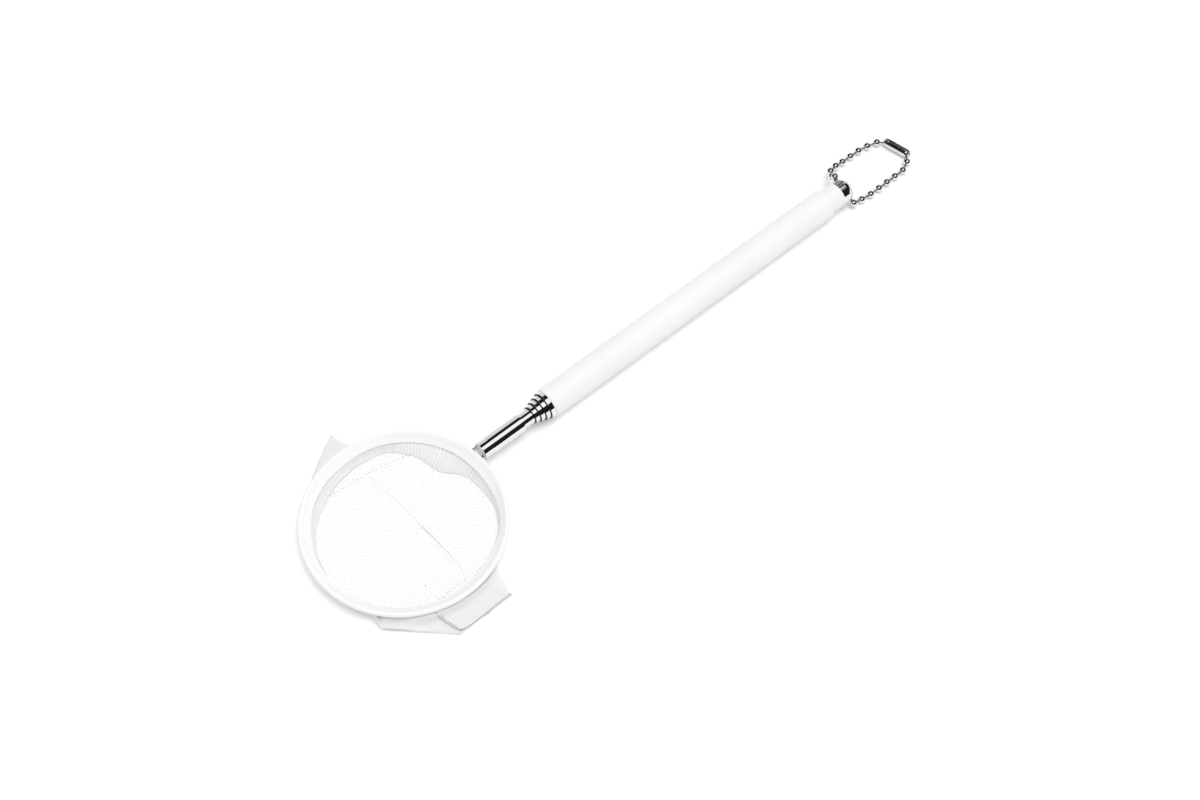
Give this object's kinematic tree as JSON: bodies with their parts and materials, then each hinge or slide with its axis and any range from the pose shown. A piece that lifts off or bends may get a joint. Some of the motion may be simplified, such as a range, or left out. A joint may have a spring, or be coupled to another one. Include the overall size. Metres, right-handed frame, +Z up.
{
  "type": "aquarium fish net",
  "caption": "Round-hooped fish net: white mesh bag, telescopic chrome rod with a white sleeved grip, domed end cap and a ball-chain hang loop.",
  "frame": {"origin": "on the rod's axis, midway along the straight stretch of the grip", "axes": "+X along the rod from the hoop to the end cap, +Z up as the net lies on a table, hoop level"},
  "size_m": [0.3136, 0.0994, 0.013],
  "materials": {
    "grip": "matte soft sleeve",
    "collar": "satin white moulding",
    "chrome": "polished chrome plate",
    "spring": "rolled phosphor bronze strip",
    "stop": "natural nylon",
    "core": "grey moulding",
    "wire": "bright plated spring wire",
    "hem": "white tape, stitched",
    "mesh": "fine white mesh",
    "chain": "nickel plated, bright"
  },
  "bodies": {
    "handle": {"grip_sleeve": "grip", "outer_tube": "chrome", "end_collar": "collar", "end_cap": "chrome"},
    "section_4": {"section_4_tube": "chrome", "section_4_spring": "spring", "section_4_stop": "stop"},
    "section_3": {"section_3_tube": "chrome", "section_3_spring": "spring", "section_3_stop": "stop"},
    "section_2": {"section_2_tube": "chrome", "section_2_spring": "spring", "section_2_stop": "stop"},
    "head_slider": {"section_1_spring": "spring"},
    "head": {"section_1_tube": "chrome", "section_1_stop": "stop", "ferrule": "chrome", "wire_core": "core", "hoop_wire": "wire", "hem": "hem", "net_bag": "mesh"},
    "chain_lead": {"chain_lead_beads": "chain", "chain_lead_links": "chain"},
    "chain_mid": {"chain_mid_beads": "chain", "chain_mid_links": "chain"},
    "chain_far": {"chain_far_beads": "chain", "chain_far_links": "chain", "chain_connector": "chain"}
  },
  "joints": [
    {"name": "section_4_slide", "type": "slide", "parent": "handle", "child": "section_4", "axis": [-1, 0, 0], "range_m": [0, 0.1328]},
    {"name": "section_3_slide", "type": "slide", "parent": "section_4", "child": "section_3", "axis": [-1, 0, 0], "range_m": [0, 0.1294]},
    {"name": "section_2_slide", "type": "slide", "parent": "section_3", "child": "section_2", "axis": [-1, 0, 0], "range_m": [0, 0.126]},
    {"name": "head_slide", "type": "slide", "parent": "section_2", "child": "head_slider", "axis": [-1, 0, 0], "range_m": [0, 0.1225]},
    {"name": "head_spin", "type": "hinge", "parent": "head_slider", "child": "head", "pos_m": [-0.09, 0, 0], "axis": [1, 0, 0], "continuous": true},
    {"name": "chain_swing", "type": "hinge", "parent": "handle", "child": "chain_lead", "pos_m": [0.0863, 0, 0], "axis": [0, 0.9063, 0.4226], "range_deg": [-120, 120]},
    {"name": "chain_fold_near", "type": "hinge", "parent": "chain_lead", "child": "chain_mid", "pos_m": [0.09371, 0.00301, -0.00397], "axis": [-0.0765, 0.9928, 0.092], "range_deg": [-30, 30]},
    {"name": "chain_fold_far", "type": "hinge", "parent": "chain_mid", "child": "chain_far", "pos_m": [0.10776, 0.00332, -0.00485], "axis": [-0.106, 0.9944, 0], "range_deg": [-30, 30]}
  ]
}
